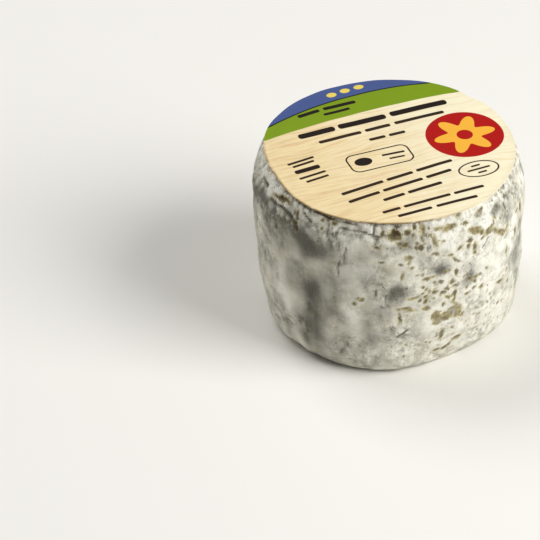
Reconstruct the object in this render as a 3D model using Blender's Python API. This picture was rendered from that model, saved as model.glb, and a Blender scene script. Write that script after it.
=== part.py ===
"""A small ripened goat cheese: a squat, uneven drum of rind with a round paper label on its top.

Metres, +Z up. The origin is the middle of the flat foot. The label reads along +X, and the
coloured bands across it lie towards +Y.
"""

import math

import bmesh
import bpy
from mathutils import Vector, noise

MM = 0.001

# Driving dimensions
GREATEST_RADIUS = 24.9 * MM
RIND_HEIGHT = 34.4 * MM
LABEL_RADIUS = 22.9 * MM
LABEL_THICKNESS = 0.3 * MM
LABEL_GAP = 0.3 * MM

# The side's outline from the foot to the middle of the top, where it is even:
# the share of the height, and the share of the greatest radius.
OUTLINE = (
    (0.000, 0.812),
    (0.021, 0.868),
    (0.066, 0.902),
    (0.150, 0.932),
    (0.325, 0.966),
    (0.560, 0.981),
    (0.810, 1.000),
    (0.905, 0.974),
    (0.962, 0.947),
    (0.985, 0.922),
    (0.996, 0.820),
    (1.000, 0.400),
    (1.000, 0.000),
)

# Bulges and flats of the drum: the direction in degrees from +X, how far the rind stands
# out or in, and how many degrees the change spreads to each side.
FOOT_LOBES = (
    (-79.0, -2.15 * MM, 26.0),
    (-14.0, 0.80 * MM, 24.0),
    (62.0, -0.70 * MM, 26.0),
    (155.0, -0.60 * MM, 28.0),
    (-162.0, -0.50 * MM, 14.0),
)
BELLY_LOBES = (
    (-150.0, -0.30 * MM, 26.0),
    (-22.0, 0.10 * MM, 20.0),
    (30.0, 0.30 * MM, 26.0),
    (100.0, -0.35 * MM, 34.0),
)
SHOULDER_LOBES = (
    (138.0, 0.30 * MM, 12.0),
    (88.0, -0.55 * MM, 18.0),
    (62.0, -0.30 * MM, 8.0),
    (27.0, -0.50 * MM, 5.0),
    (178.0, -1.05 * MM, 20.0),
    (-68.0, 0.30 * MM, 14.0),
)
FOOT_REACH = 9.0 * MM
SHOULDER_REACH = 3.2 * MM

# Hollows where patches of mould have sunk: the direction in degrees from +X, the height,
# the depth, the width along the side, and the spread up and down.
HOLLOWS = (
    (-87.0, 13.6 * MM, 0.38 * MM, 3.4 * MM, 1.5 * MM),
    (-90.0, 20.5 * MM, 0.24 * MM, 4.2 * MM, 3.6 * MM),
    (-78.0, 31.0 * MM, 0.28 * MM, 3.4 * MM, 1.3 * MM),
    (-52.0, 23.6 * MM, 0.30 * MM, 3.2 * MM, 1.4 * MM),
    (-109.0, 20.4 * MM, 0.25 * MM, 1.8 * MM, 1.8 * MM),
    (-150.0, 17.5 * MM, 0.45 * MM, 3.4 * MM, 4.8 * MM),
    (-132.0, 8.5 * MM, 0.30 * MM, 3.8 * MM, 2.2 * MM),
    (-24.0, 21.0 * MM, 0.35 * MM, 3.6 * MM, 3.0 * MM),
    (18.0, 21.0 * MM, 0.35 * MM, 3.0 * MM, 3.2 * MM),
    (52.0, 9.0 * MM, 0.40 * MM, 4.2 * MM, 2.6 * MM),
    (88.0, 24.0 * MM, 0.35 * MM, 3.4 * MM, 2.4 * MM),
    (121.0, 12.5 * MM, 0.40 * MM, 3.8 * MM, 3.6 * MM),
    (165.0, 25.0 * MM, 0.35 * MM, 3.2 * MM, 2.8 * MM),
)

# The crease under the label's edge, where the rind folded over as the cheese sank
CREASE_MIDDLE = -124.0
CREASE_SPREAD = 16.0
CREASE_HEIGHT = 32.4 * MM
CREASE_WIDTH = 0.9 * MM
CREASE_DEPTH = 0.40 * MM

# Uneven lumps of the rind, as the size, the height and where the noise is read. They are
# lower near the top, which the label keeps flat, and none stand out of the level foot.
LUMPS = (
    (11.0 * MM, 0.42 * MM, Vector((3.1, 7.7, 1.9))),
    (4.2 * MM, 0.26 * MM, Vector((11.3, 2.4, 5.8))),
    (2.3 * MM, 0.11 * MM, Vector((6.2, 9.5, 14.1))),
)
CALM_SHARE = 0.75
CALM_REACH = 2.2 * MM
LEVEL_RISE = 2.5 * MM

# The mesh: columns round the drum, steps up the side, and rings of the top under the label
COLUMNS = 120
SIDE_STEP = 1.1 * MM
NORMAL_STEP = 0.3 * MM
TOP_RINGS = (0.955, 0.87, 0.68, 0.38)
CURVE_STEPS = 24
ON_CURVE = 1e-6
SHARP_EDGE = math.radians(60.0)

RIND_COLOUR = (0.72, 0.71, 0.64, 1.0)
RIND_ROUGHNESS = 0.85
PAPER_COLOUR = (0.93, 0.80, 0.58, 1.0)
PAPER_ROUGHNESS = 0.55


def clear_scene():
    for thing in list(bpy.data.objects):
        bpy.data.objects.remove(thing, do_unlink=True)


def material(name, colour, roughness):
    made = bpy.data.materials.new(name)
    made.use_nodes = True
    shader = made.node_tree.nodes["Principled BSDF"]
    shader.inputs["Base Color"].default_value = colour
    shader.inputs["Roughness"].default_value = roughness
    shader.inputs["Metallic"].default_value = 0.0
    return made


def catmull_rom(before, start, end, after, share):
    """The point a share of the way from start to end on a smooth curve through all four."""
    return 0.5 * (
        2 * start
        + (end - before) * share
        + (2 * before - 5 * start + 4 * end - after) * share**2
        + (3 * start - before - 3 * end + after) * share**3
    )


def outline_curve():
    """The even outline as a fine run of points: x is the radius, and y is the height."""
    stations = [Vector((radius * GREATEST_RADIUS, height * RIND_HEIGHT)) for height, radius in OUTLINE]
    stations.insert(0, 2 * stations[0] - stations[1])
    stations.append(2 * stations[-1] - stations[-2])
    curve = []
    for before, start, end, after in zip(stations, stations[1:], stations[2:], stations[3:]):
        for step in range(CURVE_STEPS):
            curve.append(catmull_rom(before, start, end, after, step / CURVE_STEPS))
    curve.append(stations[-2])
    return curve


def at_length(curve, length):
    """The point at this length along the curve from its foot end."""
    for start, end in zip(curve, curve[1:]):
        span = (end - start).length
        if length <= span:
            return start.lerp(end, length / span)
        length -= span
    return curve[-1].copy()


def at_top_radius(curve, radius):
    """The point of the curve's upper part that has this radius."""
    for end, start in zip(reversed(curve), reversed(curve[:-1])):
        if start.x >= radius:
            share = (radius - end.x) / (start.x - end.x)
            return end.lerp(start, share)
    return curve[0].copy()


def length_to(curve, point):
    """The curve's length from its foot end up to a point that lies on it."""
    length = 0.0
    for start, end in zip(curve, curve[1:]):
        span = (end - start).length
        if (point - start).length + (end - point).length <= span * (1.0 + ON_CURVE):
            return length + (point - start).length
        length += span
    return length


def bell(distance, spread):
    return math.exp(-((distance / spread) ** 2))


def turn_between(angle, other):
    """The angle between two directions, in degrees from -180 to 180."""
    return (angle - other + 180.0) % 360.0 - 180.0


def lobes(angle, rows):
    return sum(amount * bell(turn_between(angle, middle), spread) for middle, amount, spread in rows)


def spread_out(angle, height):
    """How far the drum stands out from the even outline at a direction and a height."""
    foot = bell(height, FOOT_REACH)
    shoulder = bell(RIND_HEIGHT - height, SHOULDER_REACH)
    belly = max(0.0, 1.0 - foot - shoulder)
    return (
        foot * lobes(angle, FOOT_LOBES)
        + belly * lobes(angle, BELLY_LOBES)
        + shoulder * lobes(angle, SHOULDER_LOBES)
    )


def relief(angle, radius, height):
    """The lumps, hollows and crease of the rind, measured outwards from its even surface."""
    turn = math.radians(angle)
    place = Vector((radius * math.cos(turn), radius * math.sin(turn), height))
    lumps = sum(tall * noise.noise(place / size + shift) for size, tall, shift in LUMPS)
    lumps *= 1.0 - CALM_SHARE * bell(RIND_HEIGHT - height, CALM_REACH)
    sunk = 0.0
    for middle, level, depth, width, tall in HOLLOWS:
        across = math.radians(turn_between(angle, middle)) * GREATEST_RADIUS
        sunk += depth * bell(across, width) * bell(height - level, tall)
    if radius > LABEL_RADIUS:
        along = bell(turn_between(angle, CREASE_MIDDLE), CREASE_SPREAD)
        sunk += CREASE_DEPTH * along * bell(height - CREASE_HEIGHT, CREASE_WIDTH)
    return (lumps - sunk) * min(1.0, height / LEVEL_RISE)


def ring_points(curve, station, offset=0.0):
    """One ring round the drum through a station of the outline, set off from the rind by offset."""
    ahead = length_to(curve, station)
    along = at_length(curve, ahead + NORMAL_STEP) - at_length(curve, max(0.0, ahead - NORMAL_STEP))
    outwards = Vector((along.y, -along.x)).normalized()
    points = []
    for column in range(COLUMNS):
        angle = 360.0 * column / COLUMNS
        share = station.x / GREATEST_RADIUS
        radius = station.x + spread_out(angle, station.y) * share
        out = relief(angle, station.x, station.y) + offset
        radius += outwards.x * out
        height = station.y + outwards.y * out
        turn = math.radians(angle)
        points.append(Vector((radius * math.cos(turn), radius * math.sin(turn), height)))
    return points


def add_rings(mesh, curve, stations, offset=0.0):
    rings = [ring_points(curve, station, offset) for station in stations]
    return [[mesh.verts.new(point) for point in ring] for ring in rings]


def top_stations(curve):
    return [at_top_radius(curve, share * LABEL_RADIUS) for share in TOP_RINGS]


def skin(mesh, lower, upper):
    """Quads between two rings of the same number of points."""
    for index in range(len(lower)):
        following = (index + 1) % len(lower)
        mesh.faces.new((lower[index], lower[following], upper[following], upper[index]))


def fan(mesh, ring, middle):
    for index in range(len(ring)):
        mesh.faces.new((ring[index], ring[(index + 1) % len(ring)], middle))


def add_object(name, mesh, finish):
    data = bpy.data.meshes.new(name)
    bmesh.ops.recalc_face_normals(mesh, faces=mesh.faces)
    mesh.to_mesh(data)
    mesh.free()
    data.materials.append(finish)
    data.shade_smooth()
    data.set_sharp_from_angle(angle=SHARP_EDGE)
    made = bpy.data.objects.new(name, data)
    bpy.context.scene.collection.objects.link(made)
    return made


def top_middle(offset):
    return Vector((0.0, 0.0, RIND_HEIGHT + offset))


def build_cheese(curve, label_edge):
    """The rind from its flat foot, up the side and over the shoulder, to the middle of the top."""
    side_length = length_to(curve, label_edge)
    steps = round(side_length / SIDE_STEP)
    stations = [at_length(curve, side_length * step / steps) for step in range(steps)]
    stations.append(label_edge)
    mesh = bmesh.new()
    rings = add_rings(mesh, curve, stations + top_stations(curve))
    for lower, upper in zip(rings, rings[1:]):
        skin(mesh, lower, upper)
    fan(mesh, rings[-1], mesh.verts.new(top_middle(0.0)))
    mesh.faces.new(list(reversed(rings[0])))
    return add_object("cheese", mesh, material("rind", RIND_COLOUR, RIND_ROUGHNESS))


def build_label(curve, label_edge):
    """The paper disc: two skins that follow the top of the rind, joined round the edge."""
    stations = [label_edge] + top_stations(curve)
    mesh = bmesh.new()
    edges = []
    for offset in (LABEL_GAP, LABEL_GAP + LABEL_THICKNESS):
        rings = add_rings(mesh, curve, stations, offset)
        for outer, inner in zip(rings, rings[1:]):
            skin(mesh, outer, inner)
        fan(mesh, rings[-1], mesh.verts.new(top_middle(offset)))
        edges.append(rings[0])
    skin(mesh, edges[0], edges[1])
    return add_object("label", mesh, material("paper", PAPER_COLOUR, PAPER_ROUGHNESS))


def centre_over_origin(things):
    """Moves the meshes sideways so that the middle of their common box is over the origin."""
    corners = [vertex.co for thing in things for vertex in thing.data.vertices]
    middle = Vector(
        (
            (min(corner.x for corner in corners) + max(corner.x for corner in corners)) / 2,
            (min(corner.y for corner in corners) + max(corner.y for corner in corners)) / 2,
            0.0,
        )
    )
    for thing in things:
        for vertex in thing.data.vertices:
            vertex.co -= middle


def build():
    clear_scene()
    curve = outline_curve()
    label_edge = at_top_radius(curve, LABEL_RADIUS)
    cheese = build_cheese(curve, label_edge)
    label = build_label(curve, label_edge)
    centre_over_origin((cheese, label))


build()
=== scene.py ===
"""The looks of a small ripened goat cheese: its mottled rind and the printed paper label on its top."""

import math
import random

import bpy
import numpy as np
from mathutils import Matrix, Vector, noise
from mathutils.bvhtree import BVHTree


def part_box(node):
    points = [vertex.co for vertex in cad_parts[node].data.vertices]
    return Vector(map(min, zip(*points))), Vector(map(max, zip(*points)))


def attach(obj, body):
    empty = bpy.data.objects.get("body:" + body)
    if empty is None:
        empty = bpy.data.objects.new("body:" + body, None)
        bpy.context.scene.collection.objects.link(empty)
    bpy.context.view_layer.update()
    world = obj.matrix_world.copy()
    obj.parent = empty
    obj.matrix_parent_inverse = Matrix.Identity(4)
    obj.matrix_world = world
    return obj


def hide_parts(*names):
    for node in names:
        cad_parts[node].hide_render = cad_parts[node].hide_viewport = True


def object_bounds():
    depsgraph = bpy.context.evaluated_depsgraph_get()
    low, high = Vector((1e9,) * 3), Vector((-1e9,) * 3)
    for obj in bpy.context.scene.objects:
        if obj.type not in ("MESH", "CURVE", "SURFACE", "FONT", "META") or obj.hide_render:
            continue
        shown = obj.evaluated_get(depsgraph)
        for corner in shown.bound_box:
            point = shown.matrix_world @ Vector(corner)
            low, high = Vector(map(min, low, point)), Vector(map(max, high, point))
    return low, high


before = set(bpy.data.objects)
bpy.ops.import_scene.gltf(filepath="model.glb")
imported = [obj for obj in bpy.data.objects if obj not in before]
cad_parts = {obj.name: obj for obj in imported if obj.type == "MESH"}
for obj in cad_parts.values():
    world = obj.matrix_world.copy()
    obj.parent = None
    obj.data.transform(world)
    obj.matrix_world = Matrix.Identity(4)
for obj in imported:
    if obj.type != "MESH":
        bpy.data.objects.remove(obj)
cad_low, cad_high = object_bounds()

MM = 0.001

# The photograph: how the camera looks at the cheese, and where the middle of the label is in it
AZIMUTH = math.radians(-22.4)
ELEVATION = math.radians(35.2)
PHOTO_SIDE = 540
PHOTO_PIXELS_PER_MM = 5.48
LABEL_IN_PHOTO = (391.9, 150.8)
LENS = 1600.0
SENSOR = 36.0
CLIP_NEAR, CLIP_FAR = 0.05, 20.0

# The lights: the direction and the height they come from in degrees, and the power in watts
KEY_LIGHT = (-47.0, 38.0, 6.0)
BACK_LIGHT = (118.0, 52.0, 2.9)
LIGHT_DISTANCE = 0.8
LIGHT_WIDTH = 0.5
LIGHT_TINT = (1.0, 0.998, 0.99)
SKY = 0.17
SKY_TINT = (1.0, 0.995, 0.98, 1.0)
FLOOR_RADIUS = 2.5
FLOOR_CORNERS = 96
FLOOR_HEIGHT = -0.02 * MM

# The grid that the rind is made on, and how the solid's even outline is read from its middle
COLUMNS = 520
ROW_STEP = 0.3 * MM
TOP_ROWS = 12
TOP_GROWTH = 1.6
TOP_REACH = 0.97
FOOT_RINGS = (0.3, 0.6, 0.86, 0.96)
SMOOTH_CELLS = 2.2
EDGE_CELLS = 3.0
SIDE_RADIUS = 24.5 * MM
OUTLINE_TILTS = np.radians(np.arange(-60.0, 90.01, 0.5))
OUTLINE_TURNS = 40
OFF_FLOOR = 0.02 * MM
TOP_FROM = 0.9

# The marks on the rind, and the noise that pushes their edges about, as its reach and size in mm
SHOWN_SEED = 7
CRACK_WIDTH = 0.17 * MM
FOLD_WIDTH = 0.36 * MM
CRACK_PUSH = 0.4
EDGE_NOISE = ((0.36, 1.3), (0.16, 0.55))
PIT_LEVELS = (2.0, 35.2)
PIT_WIDTHS, PIT_FLATNESS, PIT_TILTS = (0.55, 1.5), (0.6, 1.7), (-60.0, 60.0)

# The marks on the side that isn't shown: how many there are, and the ranges they are drawn from, in
# degrees round the side and in mm up it and across
SEED = 4
UNSEEN_TURNS = (-25.0, 158.0)
UNSEEN_PATCHES, UNSEEN_GROUPS, UNSEEN_SMUDGES, UNSEEN_CRACKS = 18, 10, 12, 7
PATCH_LEVELS, PATCH_FLATNESS, PATCH_TILTS = (3, 34), (0.4, 1.1), (-50, 50)
PATCH_LEAST, PATCH_GROWTH, PATCHES_TOGETHER = 0.35, 1.3, (1, 4)
PATCH_STEPS_ROUND, PATCH_STEPS_UP = (-3.0, 3.0), (-1.0, 1.0)
GROUP_LEVELS, GROUP_SPREADS, GROUP_SIZES, GROUP_PITS = (6, 33), (2.5, 4.5), (0.16, 0.3), 20
SMUDGE_LEVELS, SMUDGE_SPREADS = (5, 33), (1.2, 2.2)
SMUDGE_FLATNESS, SMUDGE_STRENGTHS = (0.8, 1.5), (0.5, 0.9)
CRACK_LEVELS, CRACK_STEPS_ROUND, CRACK_STEPS_UP = (6, 34), (-4, 6), (-1.6, 1.6)
CRACK_HIGHEST, CRACK_PIECES = 35.0, (1, 3)

# The rind's fine relief: the height and size of its lumps in mm, and how deep each mark is sunk
LUMPS, SHOULDER_LUMPS, CRUST_LUMPS, GRAIN_LUMPS = (0.13, 2.4), (0.22, 1.7), (0.075, 1.1), (0.045, 0.6)
PATCH_DEPTH = 0.16 * MM
FURROW_DEPTH = 0.1 * MM
MARK_DEPTHS = {"wrinkle": 0.1 * MM, "crack_and_fold_line": 0.2 * MM, "stain_and_edge_shadow": 0.15 * MM}
SMOOTH_FOOT = 2.0 * MM
# The painted shade of the hollows: the cells it is judged over, and the depth where it is fullest
HOLLOW_CELLS = 3.0
HOLLOW_DEPTH = 0.1 * MM
THICKEST_BLOOM = 1.25

# The label's sheet of paper, and how the rind rises to meet it
PAPER_THICKNESS = 0.1 * MM
PAPER_GAP = 0.04 * MM
WAVE_HEIGHT = 0.02 * MM
WAVE_SIZE = 6.0 * MM
PAPER_CELLS = 1.2
PAPER_CORNER = math.radians(40.0)
LABEL_COLUMNS = 240
LABEL_RINGS = 40
LAST_RING = LABEL_RINGS - 1.001
RING_POWER = 0.85
EDGE_BETWEEN = (15.0 * MM, 30.0 * MM)
EDGE_HALVINGS = 16
INSIDE_EDGE = 0.9995
RIND_RISE = 0.4 * MM
RISE_REACH = 1.6 * MM


def colour(red, green, blue):
    """An opaque linear colour from screen values out of 255."""
    shares = [level / 255.0 for level in (red, green, blue)]
    return tuple(s / 12.92 if s <= 0.04045 else ((s + 0.055) / 1.055) ** 2.4 for s in shares) + (1.0,)


def way(turn, rise=0.0):
    """The unit vector that points round by one angle and up by another, in radians."""
    return Vector((math.cos(rise) * math.cos(turn), math.cos(rise) * math.sin(turn), math.sin(rise)))


def middle_of(node):
    low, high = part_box(node)
    return (low + high) / 2


def smooth_step(value, low, high):
    share = np.clip((value - low) / (high - low), 0.0, 1.0)
    return share * share * (3.0 - 2.0 * share)


def bell(away, spread):
    """1 at nought, falling to 0 on both sides of it."""
    return np.exp(-((away / spread) ** 2))


def tree_of(node):
    """The surface of a CAD node, for casting rays at it."""
    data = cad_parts[node].data
    points = [vertex.co.copy() for vertex in data.vertices]
    return BVHTree.FromPolygons(points, [tuple(face.vertices) for face in data.polygons])


def noise_at(points, size, shift):
    """Smooth noise from about -1 to 1 at each point, whose lumps are about size across."""
    flat = (points.reshape(-1, 3) / size + np.array(shift)).tolist()
    return np.array([noise.noise(place) for place in flat]).reshape(points.shape[:-1])


def blurred(values, cells):
    """Values on a grid of rows and columns, evened out over a few cells."""
    reach = int(math.ceil(3 * cells))
    weights = np.exp(-0.5 * (np.arange(-reach, reach + 1) / cells) ** 2)
    weights /= weights.sum()
    padded = np.pad(values, ((0, 0), (reach, reach)), mode="wrap")
    across = sum(w * padded[:, i : i + values.shape[1]] for i, w in enumerate(weights))
    padded = np.pad(across, ((reach, reach), (0, 0)), mode="reflect", reflect_type="odd")
    return sum(w * padded[i : i + values.shape[0], :] for i, w in enumerate(weights))


def evened(values, cells):
    """Values without their facets, whose broad curves stay as they are."""
    smooth = blurred(values, cells)
    return smooth + blurred(values - smooth, cells)


def grid_normals(points):
    """Unit normals of a grid whose columns run round the cheese and whose rows run up it."""
    across = np.roll(points, -1, axis=1) - np.roll(points, 1, axis=1)
    normals = np.cross(across, np.gradient(points, axis=0))
    return normals / np.linalg.norm(normals, axis=2, keepdims=True)


def set_on_floor(points):
    """Sets a grid's first row on the floor, and lifts what is below the floor up to it."""
    points[0, :, 2] = 0.0
    points[:, :, 2] = np.maximum(points[:, :, 2], 0.0)
    return points


def new_object(name, data):
    made = bpy.data.objects.new(name, data)
    bpy.context.scene.collection.objects.link(made)
    return made


def new_mesh(name, places, faces, attributes):
    """A smooth mesh object, and its attributes, each a number for every one of the places."""
    data = bpy.data.meshes.new(name)
    data.from_pydata(places.tolist(), [], faces)
    data.shade_smooth()
    for title, values in attributes.items():
        attribute = data.attributes.new(title, "FLOAT", "POINT")
        attribute.data.foreach_set("value", values.astype(np.float32))
    return new_object(name, data)


class LabelShape:
    """Where the CAD label lies, and how far it reaches from its middle in each direction."""

    def __init__(self):
        self.middle = middle_of("label")
        self.turns = np.arange(LABEL_COLUMNS) * 2 * math.pi / LABEL_COLUMNS
        self.tree = tree_of("label")
        self.reaches = np.array([self.edge_at(turn) for turn in self.turns])
        shares = np.linspace(0.0, 1.0, LABEL_RINGS + 1)[1:] ** RING_POWER
        reach = shares[:, None] * self.reaches[None, :] * INSIDE_EDGE
        across = self.middle.x + reach * np.cos(self.turns)
        along = self.middle.y + reach * np.sin(self.turns)
        heights = np.array([self.underside(x, y) for x, y in zip(across.ravel(), along.ravel())])
        self.under = np.stack([across, along, blurred(heights.reshape(reach.shape), PAPER_CELLS)], axis=2)

    def underside(self, x, y):
        """The height of the CAD label's underside, or None outside it."""
        place = self.tree.ray_cast(Vector((x, y, 0.0)), Vector((0.0, 0.0, 1.0)))[0]
        return place.z if place else None

    def edge_at(self, turn):
        """How far the label reaches in one direction, found by halving."""
        inside, outside = EDGE_BETWEEN
        for _ in range(EDGE_HALVINGS):
            reach = (inside + outside) / 2
            place = self.middle + way(turn) * reach
            if self.underside(place.x, place.y) is None:
                outside = reach
            else:
                inside = reach
        return inside

    def turn_and_share(self, points):
        """Each point's turn round the label's middle, and its share of the way from there to the edge."""
        away = points[..., :2] - np.array(self.middle.xy)
        turns = np.arctan2(away[..., 1], away[..., 0])
        reach = np.interp(turns, self.turns, self.reaches, period=2 * math.pi)
        return turns, np.hypot(away[..., 0], away[..., 1]) / reach

    def height_over(self, points):
        """The height of the paper's underside over each point, or beyond its edge that at the edge."""
        turns, share = self.turn_and_share(points)
        ring = np.clip(np.minimum(share, 1.0) ** (1 / RING_POWER) * LABEL_RINGS - 1.0, 0.0, LAST_RING)
        column = (turns / (2 * math.pi) * LABEL_COLUMNS) % LABEL_COLUMNS
        inner, first = ring.astype(int), column.astype(int)
        second, column_part, ring_part = (first + 1) % LABEL_COLUMNS, column - first, ring - inner
        high = self.under[:, :, 2]
        rows = (inner, inner + 1)
        near, far = [high[r, first] * (1 - column_part) + high[r, second] * column_part for r in rows]
        return near * (1 - ring_part) + far * ring_part

    def covers(self, points):
        """Which of the points lie under the label, seen from above."""
        return self.turn_and_share(points)[1] < 1.0


class Rind:
    """The drum's surface as a grid: rows of points up its side, and columns of them round it."""

    def __init__(self, label):
        tree = tree_of("cheese")
        self.core = Vector((0.0, 0.0, middle_of("cheese").z))
        self.turns = np.arange(COLUMNS) * 2 * math.pi / COLUMNS
        rows = self.row_places(self.even_outline(tree), label)
        self.points = self.cast_rows(tree, rows)
        self.up = np.repeat(self.lengths[:, None], COLUMNS, axis=1)
        self.directions = np.repeat(np.degrees(self.turns)[None, :], len(rows), axis=0)
        covered = label.covers(self.points) & (self.points[:, :, 2] > self.core.z)
        edge = self.lengths[covered.argmax(axis=0)]
        self.from_label = self.up - blurred(np.stack([edge, edge]), EDGE_CELLS)[0]
        self.push_round = self.uneven_push((7.0, 7.0, 1.0), (1.0, 2.0, 9.0))
        self.push_up = self.uneven_push((2.0, 9.0, 6.0), (4.0, 8.0, 5.0))

    def hit(self, tree, tilt, turn):
        """How far the surface is from the core in one direction."""
        return tree.ray_cast(self.core, way(turn, tilt))[3]

    def even_outline(self, tree):
        """The mean outline from the foot to the middle of the top, as radius and height."""
        places = []
        turns = self.turns[:: COLUMNS // OUTLINE_TURNS]
        for tilt in OUTLINE_TILTS:
            reach = np.mean([self.hit(tree, tilt, turn) for turn in turns])
            places.append((reach * math.cos(tilt), self.core.z + reach * math.sin(tilt)))
        return np.array(places)

    def row_places(self, outline, label):
        """Rows at even steps up the side to the label's edge, then at growing steps to the middle."""
        side = outline[outline[:, 1] > OFF_FLOOR]
        spans = np.hypot(*np.diff(side, axis=0).T)
        lengths = np.concatenate([[0.0], np.cumsum(spans)])
        top = side[:, 1] > TOP_FROM * side[:, 1].max()
        edge = np.interp(-label.reaches.min(), -side[top, 0], lengths[top])
        up_side = np.linspace(0.0, edge, int(round(edge / ROW_STEP)) + 1)
        inward = np.linspace(0.0, 1.0, TOP_ROWS + 1)[1:] ** TOP_GROWTH
        self.lengths = np.concatenate([up_side, edge + inward * (lengths[-1] - edge) * TOP_REACH])
        return np.stack([np.interp(self.lengths, lengths, side[:, axis]) for axis in (0, 1)], axis=1)

    def cast_rows(self, tree, rows):
        """Points on the CAD solid, whose facets are evened out, with the foot's edge on the floor."""
        tilts = np.arctan2(rows[:, 1] - self.core.z, rows[:, 0])
        reach = np.array([[self.hit(tree, tilt, turn) for turn in self.turns] for tilt in tilts])
        flat = evened(np.cos(tilts)[:, None] * reach, SMOOTH_CELLS)
        high = evened(self.core.z + np.sin(tilts)[:, None] * reach, SMOOTH_CELLS)
        points = np.stack([flat * np.cos(self.turns), flat * np.sin(self.turns), high], axis=2)
        return set_on_floor(points)

    def noise(self, size, shift):
        """Noise over the surface, whose lumps are about size mm across."""
        return noise_at(self.points, size * MM, shift)

    def lumps(self, height, size, shift):
        """Lumps and dents of about a height and a size in mm."""
        return height * MM * self.noise(size, shift)

    def stretched_noise(self, across, up, shift):
        """Noise whose lumps have one size in mm round the side and another up it."""
        turn = np.radians(self.directions)
        around = SIDE_RADIUS / (across * MM)
        places = np.stack([np.cos(turn) * around, np.sin(turn) * around, self.up / (up * MM)], axis=2)
        return noise_at(places, 1.0, shift)

    def uneven_push(self, *shifts):
        """How far the edges of the marks are pushed about, by broad and by fine noise."""
        return sum(self.lumps(*sizes, shift) for sizes, shift in zip(EDGE_NOISE, shifts))

    def turn_from(self, direction):
        """How far round from a direction each point is, from -180 to 180 degrees."""
        return (self.directions - direction + 180.0) % 360.0 - 180.0

    def offsets(self, direction, up, push=1.0):
        """How far each point is from a place on the side, round it and up it, with an uneven push."""
        round_side = np.radians(self.turn_from(direction)) * SIDE_RADIUS
        return round_side + push * self.push_round, self.up - up * MM + push * self.push_up

    def near(self, direction, spread):
        """1 in a direction round the cheese, falling to 0 over a spread of degrees."""
        return bell(self.turn_from(direction), spread)


# Places where the white bloom is worn to olive paste: the direction in degrees from +X, the way up
# the side from the foot's edge, half the width and half the height in mm, and the tilt in degrees
SHOWN_PATCHES = (
    (-91.6, 15, 0.85, 1.15, 0), (-91.2, 13.4, 0.85, 0.65, 0), (-86, 14.3, 1.6, 1.05, 0),
    (-83, 15.4, 1.1, 0.7, -20), (-80.5, 14.5, 0.85, 1.1, 0), (-82.4, 16.8, 1.2, 0.26, -45),
    (-88.1, 10.3, 0.6, 0.95, 0), (-96.1, 17.4, 0.7, 0.45, -20), (-106.6, 17.9, 1, 0.34, 0),
    (-103.2, 17.4, 0.7, 0.22, -15), (-102.2, 20.2, 0.9, 0.3, 15), (-95.6, 24.2, 1, 0.28, 16),
    (-107.2, 25.5, 0.34, 0.8, -10), (-104.9, 29.7, 0.78, 0.45, 0), (-104.3, 28.8, 0.32, 0.55, 0),
    (-92.6, 32.2, 0.45, 1.15, 10), (-97.8, 34.6, 0.38, 0.9, 10), (-90.2, 34.6, 0.75, 0.36, 0),
    (-85.4, 34.2, 1.25, 0.42, 5), (-83.2, 34.4, 0.55, 0.45, 0), (-69.6, 34.5, 0.9, 0.62, 20),
    (-79.9, 35.6, 0.34, 0.22, 0), (-73, 31.9, 1.3, 0.56, -20), (-70, 31, 0.7, 0.4, -25),
    (-65.8, 30.5, 1.1, 0.6, 10), (-61.6, 29.7, 0.9, 0.46, -20), (-56.4, 28, 2.1, 0.6, -27),
    (-52, 28.2, 0.5, 0.5, 0), (-84, 5, 1.1, 0.62, 30), (-79.4, 6.9, 1.25, 0.62, 25),
    (-89.4, 5.1, 0.75, 0.44, 0), (-127.8, 18.7, 0.42, 0.32, 20), (-125.2, 20, 0.42, 0.2, 20),
    (-110.6, 34.1, 1.4, 0.9, 0), (-170.4, 34.7, 2.5, 0.55, 11),
)

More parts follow.
